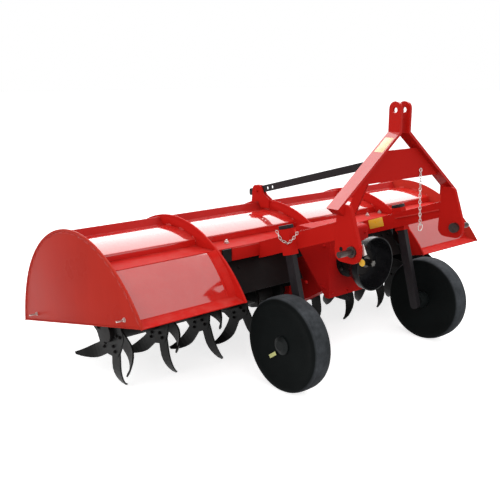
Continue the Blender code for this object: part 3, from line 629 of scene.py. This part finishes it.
def buildHoodSheet():
    half = layout["halfWidth"] - hood["endPlate"] - layout["gap"]
    stations = ((-half, 0), (half, 0))
    line = sheetLine()
    split = hood["stepFoot"] - hood["fold"]
    front = [point for point in line if point.x <= split] + crossing(line, split)
    rear = crossing(line, split) + [point for point in line if point.x > split]
    shape = bmesh.new()
    addFolded(shape, front, stations, hood["sheet"])
    sheet = addPiece("hoodSheet", shape, "frame", "hood", 30)
    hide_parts("hood_sheet")
    # the part behind the step takes the darker rear paint, a painted shade
    shape = bmesh.new()
    addFolded(shape, rear, stations, hood["sheet"])
    addPiece("hoodRear", shape, "frame", "rear", 30)


def bottomHeight(place):
    # height of the end plates' straight bottom edge
    line = hoodLine()
    return line[0].y + (line[-1].y - line[0].y) * (place - line[0].x) / (line[-1].x - line[0].x)


def ribOutline(full):
    # a rib stands on the sheet and the beam; a full one runs on down in front of the beam
    seat = sheetLine(-layout["gap"])[::-1]
    top = layout["beamTop"] + layout["gap"]
    front = layout["beamFrontY"]
    if not full:
        return between(hoodLine(), front, math.inf) + seat + [Vector((front, top))]
    front -= layout["gap"]
    leg = hood["frontCorner"][0] + hood["innerLeg"]
    below = [(front, top), (front, layout["beamBottom"]), (leg, bottomHeight(leg))]
    return hoodLine() + seat + [Vector(point) for point in below]


def lipOutline():
    # a bar along the bottom edge of an end plate
    first, last = hoodLine()[0], hoodLine()[-1]
    (ahead, behind), (low, high) = hood["lipEnds"], hood["lipHeights"]
    corners = ((first, ahead, low), (last, behind, low), (last, behind, high), (first, ahead, high))
    return [corner + Vector((place, height)) for corner, place, height in corners]


def addRimBand(shape, low, high, inset, width, start=-math.inf):
    # a narrow raised band just inside the rim of a plate
    outer = [point for point in hoodLine(inset) if point.x > start]
    inner = [point for point in hoodLine(inset + width) if point.x > start]
    addPlate(shape, outer + inner[::-1], low, high, hood["rim"] * 0.6)


def buildPlates():
    for name, sign in sides:
        outer = sign * layout["halfWidth"]
        sunk = outer - sign * hood["sunk"]
        low, high = sorted((outer, outer - sign * hood["endPlate"]))
        shape = bmesh.new()
        addPlate(shape, hoodLine(), low, high, hood["rim"])
        low, high = sorted((sunk, outer + sign * hood["rimHeight"]))
        addRimBand(shape, low, high, hood["rimInset"], hood["rimBand"])
        low, high = sorted((sunk, outer + sign * hood["lipDepth"]))
        addPlate(shape, lipOutline(), low, high, hood["rim"])
        plate = addPiece("endPlate." + name, shape, "frame", "end", 30)
        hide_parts("end_plate_" + name)
    half = layout["ribPlate"] / 2
    proud = half + hood["ribHeight"]
    ribX = layout["ribX"]
    for name, x, full in (("right", -ribX, True), ("center", 0, False), ("left", ribX, True)):
        shape = bmesh.new()
        addPlate(shape, ribOutline(full), x - half, x + half, hood["rim"])
        start = -math.inf if full else layout["beamFrontY"] + hood["ribBandStart"]
        addRimBand(shape, x - proud, x + proud, hood["ribInset"], hood["ribBand"], start)
        rib = addPiece("rib." + name, shape, "frame", "rib", 30)
        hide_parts("rib_" + name)


panel = {
    "topInset": 0.0185,  # below the end plates' rim, at the beam and at the foot
    "footInset": 0.0541,
    "foot": -0.3296,
    "inwards": (0.832, -0.555),
    "easing": 1.2,
    "lip": (-0.370, 0.4385),
    "fold": 0.007,
    "bend": 6,  # points of the line that turn in along the bottom edge
    "wall": 0.004,
    "margin": 0.040,
    "seam": 0.008,
    "bead": 0.004,
    "beadProfile": (  # distance from the margin and share of the bead's height
        (0.0079, 0.0), (0.006, 0.7), (0.003, 1.0), (0.0, 0.7), (-0.003, 0.25),
    ),
    "flare": 0.016,
}


def panelLine():
    # from the front lip in along the bottom edge, then up to the beam
    rear = layout["beamFrontY"] - layout["gap"]
    rising = between(hoodLine(panel["topInset"]), panel["foot"], rear)
    low, high = rising[0].x, rising[-1].x
    inwards = Vector(panel["inwards"]) * (panel["footInset"] - panel["topInset"])
    line = []
    for point in rising:
        share = ((high - point.x) / (high - low)) ** panel["easing"]
        line.append(point + inwards * share)
    lip = Vector(panel["lip"])
    return softened([lip, lip.lerp(line[0], 0.5)] + line, 2, panel["fold"])


def buildPanels():
    line = panelLine()
    bend = panel["bend"]
    near = layout["ribX"] + layout["ribPlate"] / 2 + layout["gap"]
    far = layout["halfWidth"] - hood["endPlate"] - layout["gap"]
    inner = near + panel["margin"]
    field = ((far, 0), (inner + panel["seam"], 0))
    margin = [(inner + offset, panel["bead"] * share) for offset, share in panel["beadProfile"]]
    margin.append((near, panel["flare"]))
    for name, sign in sides:
        shape = bmesh.new()
        addFolded(shape, line[bend:], [(sign * x, proud) for x, proud in field], panel["wall"])
        sheet = addPiece("panel." + name, shape, "frame", "panel", 24)
        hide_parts("front_panel_" + name)
        shape = bmesh.new()
        addFolded(shape, line, [(sign * x, proud) for x, proud in margin], panel["wall"])
        addFolded(shape, line[:bend + 1], [(sign * x, proud) for x, proud in field], panel["wall"])
        addPiece("panelEdge." + name, shape, "frame", "rib", 24)


welds = {
    "width": 0.007,
    "length": 0.034,
    "pitch": 0.115,
    "span": (0.02, 0.97),  # shares of a line's length
    "rimInset": 0.0175,
    "rimPitch": 0.062,
    "rise": 0.002,  # above the sheet, and off the end plates, the ribs and the rims
    "ribRise": 0.001,
    "rimRise": 0.0004,
}


def stitchAlong(shape, bead, line, x, width, pitch=welds["pitch"]):
    total = sum((after - before).length for before, after in zip(line, line[1:]))
    share, last = welds["span"]
    while share < last:
        start = pointOn(line, share)
        end = pointOn(line, share + welds["length"] / total)
        addStitch(shape, bead, (x, start.x, start.y), (x, end.x, end.y), width)
        share += pitch / total


def buildWelds():
    shape = bmesh.new()
    bead = beadPattern()
    width = welds["width"]
    rib = layout["ribPlate"] / 2 + welds["ribRise"]
    seat = sheetLine(-welds["rise"])
    rim = hoodLine(welds["rimInset"])
    inside = layout["halfWidth"] - hood["endPlate"] - welds["rise"]
    for sign in (-1, 1):
        outer = sign * (layout["halfWidth"] + welds["rimRise"])
        stitchAlong(shape, bead, rim, outer, width * 0.5, welds["rimPitch"])
        stitchAlong(shape, bead, seat, sign * inside, width)
        for face in (-rib, rib):
            stitchAlong(shape, bead, seat, sign * layout["ribX"] + face, width)
    for face in (-rib, rib):
        stitchAlong(shape, bead, seat, face, width)
    addPiece("hoodWelds", shape, "frame", "weldHighlight", 60)


bolts = {
    "beamRows": ((0.686, -0.037), (0.555, -0.050)),  # distance across and place
    "beamSize": 0.013,
    "beamStud": 0.008,
    "endPlate": ((0.650, 0.250), (-0.233, 0.445)),  # place and height
    "endSize": 0.010,
    "endStud": 0.034,
}


def buildBolts():
    shape = bmesh.new()
    for sign in (-1, 1):
        for x, y in bolts["beamRows"]:
            place = (sign * x, y, layout["beamTop"])
            addBolt(shape, place, up, bolts["beamSize"], bolts["beamStud"])
        for y, z in bolts["endPlate"]:
            place = (sign * layout["halfWidth"], y, z)
            addBolt(shape, place, across * sign, bolts["endSize"], bolts["endStud"])
    addPiece("hoodBolts", shape, "frame", "zinc")


# dark sheets under the beam, between ribs and gearbox: painted shade where the hood's underside
# lies in shadow, with the row of bolts seen there

shadeSheet = {
    "top": (-0.100, 0.5775),
    "foot": (-0.207, 0.420),
    "far": 0.6965,
    "near": 0.156,
    "wall": 0.003,
    "shift": (0.0025, 0.0017),  # of the sheet below the line from top to foot
    "bolts": (0.655, 0.600, 0.545),
    "boltShare": 0.28,
    "boltShift": (0.003, 0.002),
    "boltSize": 0.009,
    "facing": (0, -0.82, 0.58),
}


def buildShadeSheets():
    top, foot = Vector(shadeSheet["top"]), Vector(shadeSheet["foot"])
    shift = Vector(shadeSheet["shift"])
    seat = top.lerp(foot, shadeSheet["boltShare"]) - Vector(shadeSheet["boltShift"])
    for name, sign in sides:
        shape = bmesh.new()
        ends = [(sign * shadeSheet["far"], 0), (sign * shadeSheet["near"], 0)]
        addFolded(shape, [foot - shift, top - shift], ends, shadeSheet["wall"])
        for x in shadeSheet["bolts"]:
            addBolt(shape, (sign * x, seat.x, seat.y), shadeSheet["facing"], shadeSheet["boltSize"])
        # a black sheet standing in for the shade under the beam
        addPiece("shield." + name, shape, "frame", "rotor", 30)


# drive: guard, splined shaft, gearbox trim

drive = {
    "guardBack": -0.482,
    "guardProfile": (  # radius and distance in front of the guard's back
        (0.0768, 0.0), (0.109, 0.0), (0.112, 0.003), (0.1355, 0.046), (0.138, 0.051),
        (0.138, 0.081), (0.1398, 0.0825), (0.1398, 0.0865), (0.138, 0.0870), (0.1345, 0.0870),
        (0.134, 0.0855), (0.134, 0.050), (0.108, 0.004), (0.0768, 0.004), (0.0768, 0.0),
    ),
    "shaftStart": -0.491,
    "shaftEnd": -0.557,
    "collar": (0.030, 0.018),  # radius and length
    "sunk": 0.001,  # how far the splines start inside the collar
    "splines": 6,
    "splineProfile": (  # share of a spline's turn and radius
        (-0.30, 0.0145), (-0.26, 0.0175), (0.0, 0.0175),
        (0.26, 0.0175), (0.30, 0.0145), (0.5, 0.0145),
    ),
    "tip": (0.0025, 0.88),  # length and share of the radius at its end
    "flangeBolts": 6,
    "flangeRadius": 0.088,
    "flangeY": -0.406,
    "flangeSize": 0.009,
    "frontBolts": ((-0.125, 0.660), (0.125, 0.660), (-0.125, 0.372), (0.125, 0.372), (0.0, 0.364)),
    "sideBolts": ((-0.350, 0.400), (-0.230, 0.400), (-0.350, 0.620), (-0.205, 0.620)),
    "boltSize": 0.010,
}


def buildGuard():
    shape = bmesh.new()
    spot = aimed((0, drive["guardBack"], layout["inputZ"]), forward)
    spun(shape, drive["guardProfile"], spot, 64)
    guard = addPiece("guard", shape, "frame", "guard", 30)
    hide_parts("pto_guard")


def splineOutline():
    outline = []
    turn = math.tau / drive["splines"]
    for spline in range(drive["splines"]):
        for share, radius in drive["splineProfile"]:
            angle = turn * (spline + share)
            outline.append(Vector((math.cos(angle), math.sin(angle), 0)) * radius)
    return outline


def buildShaft():
    shape = bmesh.new()
    start = Vector((0, drive["shaftStart"], layout["inputZ"]))
    radius, length = drive["collar"]
    addRound(shape, start, forward, radius, length, 32)
    hidden = length - drive["sunk"]
    tip, narrow = drive["tip"]
    straight = drive["shaftStart"] - drive["shaftEnd"] - hidden - tip
    made = [shape.verts.new(point) for point in splineOutline()]
    face = shape.faces.new(made)
    for run, size in ((straight, 1.0), (tip, narrow)):
        grown = bmesh.ops.extrude_face_region(shape, geom=[face, *face.edges])["geom"]
        verts = [item for item in grown if isinstance(item, bmesh.types.BMVert)]
        face = next(item for item in grown if isinstance(item, bmesh.types.BMFace))
        bmesh.ops.scale(shape, vec=(size, size, 1), verts=verts)
        bmesh.ops.translate(shape, vec=(0, 0, run), verts=verts)
        made += verts
    bmesh.ops.transform(shape, matrix=aimed(start + forward * hidden, forward), verts=made)
    bmesh.ops.recalc_face_normals(shape, faces=shape.faces)
    shaft = addPiece("splinedShaft", shape, "drive_shaft", "shaft", 30)
    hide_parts("pto_shaft")


def buildDriveTrim():
    shape = bmesh.new()
    middle = Vector((0, drive["flangeY"], layout["inputZ"]))
    for index in range(drive["flangeBolts"]):
        angle = math.tau * (index + 0.5) / drive["flangeBolts"]
        offset = Vector((math.cos(angle), 0, math.sin(angle))) * drive["flangeRadius"]
        addBolt(shape, middle + offset, forward, drive["flangeSize"])
    addPiece("noseBolts", shape, "frame", "pin")
    shape = bmesh.new()
    for x, z in drive["frontBolts"]:
        addBolt(shape, (x, layout["gearboxFrontY"], z), forward, drive["boltSize"])
    for sign in (-1, 1):
        for y, z in drive["sideBolts"]:
            place = (sign * layout["gearboxHalf"], y, z)
            addBolt(shape, place, across * sign, drive["boltSize"])
    addPiece("gearboxBolts", shape, "frame", "gearbox")


# strut heads, beam plates and hitch fittings

fittings = {
    "headPlace": (0.4388, -0.366, 0.7535),
    "headLean": -15.6,
    "headSize": (0.046, 0.060, 0.018),
    "headBevel": 0.003,
    "stemSize": (0.026, 0.040, 0.018),
    "stemDrop": 0.008,
    "plate": {"x": (0.365, 0.600), "z": (0.577, 0.641), "thick": 0.006, "bevel": 0.0015},
    "strap": {"x": (0.606, 0.664), "z": (0.576, 0.643), "thick": 0.012, "bevel": 0.004},
    "plateEdge": (0.0024, 0.0008),  # size and bevel
    "railX": 0.397,
    "rail": (((-0.378, 0.6975), (-0.662, 0.7850)), (0.005, 0.007), 0.0012),  # ends, size, bevel
    "armEdge": (((-0.150, 0.6472), (-0.655, 0.8250)), (0.0024, 0.0030), 0.0008),
    "tabX": -0.3935,
    "tab": (((-0.800, 0.741), (-0.822, 0.697)), (0.004, 0.024), 0.001),
    "cap": (-0.3958, -0.807, 0.661),
    "capSize": (0.0165, 0.0025),  # radius and thickness
    "darkDisc": (0.4159, -0.700, 0.709),
    "darkDiscSize": (0.010, 0.0012),
}


def addSloping(shape, x, ends, section, bevel):
    # a bar between two points in a plane across X
    start, end = (Vector((x, *point)) for point in ends)
    run = end - start
    turn = Matrix.Rotation(-math.atan2(run.y, run.z), 4, "X")
    addSlab(shape, Matrix.Translation(start + run / 2) @ turn, (*section, run.length), bevel)


def addOnBeam(shape, part):
    # a plate on the front of the beam, at each side
    (near, far), (low, high), thick = part["x"], part["z"], part["thick"]
    y = layout["beamFrontY"] - thick / 2 - layout["gap"]
    for sign in (-1, 1):
        spot = Matrix.Translation((sign * (near + far) / 2, y, (low + high) / 2))
        addSlab(shape, spot, (far - near, thick, high - low), part["bevel"])


def buildStrutHeads():
    x, y, z = fittings["headPlace"]
    lean = Matrix.Rotation(math.radians(fittings["headLean"]), 4, "X")
    rise = Matrix.Translation((0, 0, fittings["headSize"][2] / 2))
    drop = Matrix.Translation((0, 0, -fittings["stemDrop"]))
    for name, sign in sides:
        shape = bmesh.new()
        spot = Matrix.Translation((sign * x, y, z)) @ lean
        addSlab(shape, spot @ rise, fittings["headSize"], fittings["headBevel"])
        addSlab(shape, spot @ drop, fittings["stemSize"], 0)
        addPiece("strutHead." + name, shape, "carrier_" + name, "strut", 30)


def buildFittings():
    shape = bmesh.new()
    addOnBeam(shape, fittings["plate"])
    addPiece("beamPlates", shape, "frame", "rib", 30)
    shape = bmesh.new()
    addOnBeam(shape, fittings["strap"])
    addPiece("beamStraps", shape, "frame", "rotor", 30)
    # rails and strips along the top edges of the arms and beam plates, in the lighter weld paint:
    # painted highlights on those edges
    shape = bmesh.new()
    (near, far), (low, high) = fittings["plate"]["x"], fittings["plate"]["z"]
    edge, bevel = fittings["plateEdge"]
    for sign in (-1, 1):
        addSloping(shape, sign * fittings["railX"], *fittings["rail"])
        addSloping(shape, sign * layout["armOuter"], *fittings["armEdge"])
        place = (sign * (near + far) / 2, layout["beamFrontY"] - fittings["plate"]["thick"], high)
        addSlab(shape, Matrix.Translation(place), (far - near, edge, edge), bevel)
    addPiece("armEdgeHighlights", shape, "frame", "weldHighlight", 30)
    shape = bmesh.new()
    addSloping(shape, fittings["tabX"], *fittings["tab"])
    addPiece("hitchTab", shape, "frame", "zinc", 30)
    shape = bmesh.new()
    addRound(shape, fittings["cap"], across, *fittings["capSize"], 24)
    addPiece("hitchCap", shape, "frame", "yellow", 30)
    # dark discs on the arms' outer faces, where dark round marks show
    shape = bmesh.new()
    x, y, z = fittings["darkDisc"]
    for sign in (-1, 1):
        addRound(shape, (sign * x, y, z), across * sign, *fittings["darkDiscSize"], 20)
    addPiece("hitchDarkDiscs", shape, "frame", "rotor", 30)


blades = {
    "discs": 5,  # at each side
    "first": 1.185,
    "pitch": 0.25625,
    "turn": 12,  # degrees from disc to disc
    "count": 6,
    "radii": (0.070, 0.098),
    "plate": 0.006,
    "bolt": (0.009, 0.004),  # size and stud
}


def buildBladeBolts():
    shape = bmesh.new()
    pattern = bmesh.new()
    addBolt(pattern, (0, 0, 0), up, *blades["bolt"])
    bolt = asPattern(pattern)
    for sign in (-1, 1):
        for disc in range(blades["discs"]):
            x = sign * (blades["first"] - blades["pitch"] * disc)
            for blade in range(blades["count"]):
                turn = 360 / blades["count"] * blade + blades["turn"] * disc * sign
                angle = math.radians(turn)
                for radius in blades["radii"]:
                    offset = Vector((0, math.cos(angle), math.sin(angle))) * radius
                    for face in (-1, 1):
                        disk = (x + face * blades["plate"], layout["rotorY"], layout["rotorZ"])
                        stamp(shape, bolt, aimed(Vector(disk) + offset, across * face))
    addPiece("bladeBolts", shape, "rotor", "rotor")


# labels, left blank

labels = {
    "thick": 0.0008,
    "bevel": 0.0003,
    "arm": {"place": (0.3996, -0.243, 0.650), "lean": -19.4, "size": (0.052, 0.105)},
    "wheel": {"place": (-0.6094, -0.457, 0.174), "lean": -35, "size": (0.018, 0.052)},
    "mast": {"high": (-0.074, -0.682, 1.190), "low": (-0.156, -0.682, 1.128), "width": 0.050},
}


def addLabel(name, spot, size, body, finish):
    shape = bmesh.new()
    addSlab(shape, spot, (*size, labels["thick"]), labels["bevel"])
    addPiece(name, shape, body, finish)


def facingSide(part):
    # where a label lies that faces across the machine
    lean = Matrix.Rotation(math.radians(part["lean"]), 4, "X")
    return Matrix.Translation(part["place"]) @ lean @ Matrix.Rotation(math.radians(90), 4, "Y")


def buildLabels():
    arm, wheel, mast = labels["arm"], labels["wheel"], labels["mast"]
    addLabel("armLabel", facingSide(arm), arm["size"], "frame", "yellow")
    spot = facingSide(wheel)
    addLabel("wheelLabel", spot, wheel["size"], "gauge_wheel_right", "pale")
    high, low = Vector(mast["high"]), Vector(mast["low"])
    run = (high - low).normalized()
    out = Vector((-run.z, 0, run.x))
    turn = Matrix((run, -forward, out)).transposed().to_4x4()
    spot = Matrix.Translation((high + low) / 2 + out * labels["thick"] / 2) @ turn
    size = ((high - low).length, mast["width"])
    addLabel("mastLabel", spot, size, "frame", "cream")


# chains

chains = {
    "radius": 0.0062,
    "wire": 0.0034,
    "stretch": 0.0036,
    "gusset": ((0.164, -0.697, 1.019), (0.170, -0.697, 0.868), (0.184, -0.697, 0.742)),
    "ring": (0.186, -0.697, 0.726),
    "ringSize": (0.018, 0.0045),  # radius and wire
    "clamp": (
        (0.47, -0.334, 0.736), (0.47, -0.362, 0.701), (0.47, -0.411, 0.692),
        (0.47, -0.444, 0.720), (0.47, -0.470, 0.752),
    ),
}


def ringPattern(radius, wire, steps, sides, stretch=0.0):
    # a ring or chain link in the plane across Y, longer along Z by stretch
    shape = bmesh.new()
    upright = Matrix.Rotation(math.radians(90), 4, "X")
    made = bmesh.ops.create_circle(
        shape, segments=sides, radius=wire / 2, matrix=Matrix.Translation((radius, 0, 0)) @ upright,
    )
    bmesh.ops.spin(
        shape, geom=made["verts"] + shape.edges[:], cent=(0, 0, 0), axis=(0, 0, 1),
        angle=math.radians(360), steps=steps, use_merge=True,
    )
    bmesh.ops.transform(shape, matrix=upright, verts=shape.verts)
    for vert in shape.verts:
        if abs(vert.co.z) > wire * 0.1:
            vert.co.z += math.copysign(stretch, vert.co.z)
    bmesh.ops.recalc_face_normals(shape, faces=shape.faces)
    return asPattern(shape)


def addChain(shape, points):
    # links laid nose to tail along a line of points, each turned across the last
    radius, wire, stretch = chains["radius"], chains["wire"], chains["stretch"]
    pitch = 2 * (radius + stretch) - wire
    link = ringPattern(radius, wire, 8, 5, stretch)
    points = [Vector(point) for point in points]
    travelled = 0.0
    count = 0
    for start, end in zip(points, points[1:]):
        run = end - start
        while travelled < run.length:
            roll = math.radians(90) * (count % 2) + 0.5
            stamp(shape, link, aimed(start + run.normalized() * travelled, run, roll))
            travelled += pitch
            count += 1
        travelled -= run.length


def buildChains():
    shape = bmesh.new()
    addChain(shape, chains["gusset"])
    stamp(shape, ringPattern(*chains["ringSize"], 16, 6), Matrix.Translation(chains["ring"]))
    addPiece("gussetChain", shape, "frame", "zinc", 60)
    for name, sign in sides:
        shape = bmesh.new()
        addChain(shape, [(sign * x, y, z) for x, y, z in chains["clamp"]])
        addPiece("clampChain." + name, shape, "frame", "zinc", 60)


# wheels

wheels = {
    "outer": 0.609,
    "inner": 0.501,
    "tread": (0.234, 0.555),  # radius and distance across, at the middle
    "outerFace": (  # radius and depth behind the face
        (0.0455, 0.012), (0.100, 0.012), (0.112, 0.0105), (0.150, 0.0095), (0.178, 0.007),
        (0.196, 0.002), (0.206, 0), (0.219, 0.0008), (0.2262, 0.0045), (0.2300, 0.0110),
        (0.2318, 0.0200), (0.2312, 0.0215), (0.2332, 0.0250),
    ),
    "innerFace": (
        (0.2332, 0.0250), (0.2318, 0.0200), (0.2300, 0.0110), (0.2262, 0.0045), (0.219, 0.0008),
        (0.206, 0), (0.196, 0.002), (0.178, 0.007), (0.112, 0.0105), (0.0455, 0.012),
    ),
}


def buildWheels():
    profile = [(radius, wheels["outer"] - depth) for radius, depth in wheels["outerFace"]]
    profile.append(wheels["tread"])
    profile += [(radius, wheels["inner"] + depth) for radius, depth in wheels["innerFace"]]
    profile.append(profile[0])
    for name, sign in sides:
        shape = bmesh.new()
        spot = aimed((0, layout["wheelY"], layout["wheelZ"]), across * sign)
        spun(shape, profile, spot, 96)
        tyre = addPiece("tyre." + name, shape, "gauge_wheel_" + name, "rubber", 40)
        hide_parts("wheel_" + name)


# floor and light

studio = {
    "floorSize": 60,
    "floorLit": (0.32, 0.32, 0.32),
    "floorSeen": (0.70, 0.70, 0.70),
    "glow": 0.72,
    "room": (0.05, 0.80, 0.85, 0.95),  # from low to high, and the strength at each
    "lamps": (  # name, place, aim, size, power
        ("overhead", (1.4, 1.7, 2.4), (0.0, 0.0, 0.2), (4.8, 4.2), 152),
        ("side", (-4.8, -1.0, 2.2), (-1.0, 0.0, 0.4), (3.0, 2.4), 60),
        ("front", (-1.8, -5.2, 2.4), (0.0, -0.4, 0.7), (3.0, 2.4), 50),
    ),
}


def buildFloor():
    # darker for the light that reaches the machine than for the camera and for reflections
    floor = Finish("floor", roughness=0.9, specular=0.1)
    path = floor.node("ShaderNodeLightPath", output="Is Camera Ray")
    glossy = floor.node("ShaderNodeLightPath", output="Is Glossy Ray")
    seen = (path + glossy).over(0.0, 1.0)
    floor.set("Base Color", floor.mix(seen, studio["floorLit"], studio["floorSeen"]))
    floor.set("Emission Color", (1, 1, 1))
    floor.set("Emission Strength", seen * studio["glow"])
    shape = bmesh.new()
    bmesh.ops.create_grid(shape, x_segments=1, y_segments=1, size=studio["floorSize"])
    mesh = bpy.data.meshes.new("floor")
    shape.to_mesh(mesh)
    shape.free()
    mesh.materials.append(floor.material)
    ground = bpy.data.objects.new("floor", mesh)
    bpy.context.scene.collection.objects.link(ground)


def buildLight():
    # a pale room, white where the camera sees it
    world = bpy.data.worlds.new("studio")
    world.use_nodes = True
    room = Graph(world.node_tree)
    back = room.tree.nodes["Background"]
    place = room.node("ShaderNodeTexCoord", output="Generated")
    height = room.node("ShaderNodeSeparateXYZ", None, {0: place}, 2)
    seen = room.node("ShaderNodeLightPath", output="Is Camera Ray")
    room.feed(back.inputs["Color"], (1, 1, 1))
    level = height.over(*studio["room"])
    room.feed(back.inputs["Strength"], level.sum("MAXIMUM", level, seen))
    bpy.context.scene.world = world
    for name, place, aim, size, power in studio["lamps"]:
        data = bpy.data.lights.new(name, "AREA")
        data.shape = "RECTANGLE"
        data.size, data.size_y = size
        data.energy = power
        lamp = bpy.data.objects.new(name, data)
        lamp.location = place
        lamp.rotation_euler = (Vector(aim) - Vector(place)).to_track_quat("-Z", "Y").to_euler()
        bpy.context.scene.collection.objects.link(lamp)


setCamera()
finishes = makeFinishes()
print("finishes made:", len(finishes))
finishNodes()
buildHoodSheet()
buildPlates()
buildPanels()
buildShadeSheets()
print("hood built")
buildWelds()
buildBolts()
print("welds and bolts built")
buildGuard()
buildShaft()
buildDriveTrim()
buildStrutHeads()
buildFittings()
buildBladeBolts()
print("drive and fittings built")
buildLabels()
buildChains()
print("small pieces built")
buildWheels()
print("wheels built")
buildFloor()
buildLight()
print("studio built")
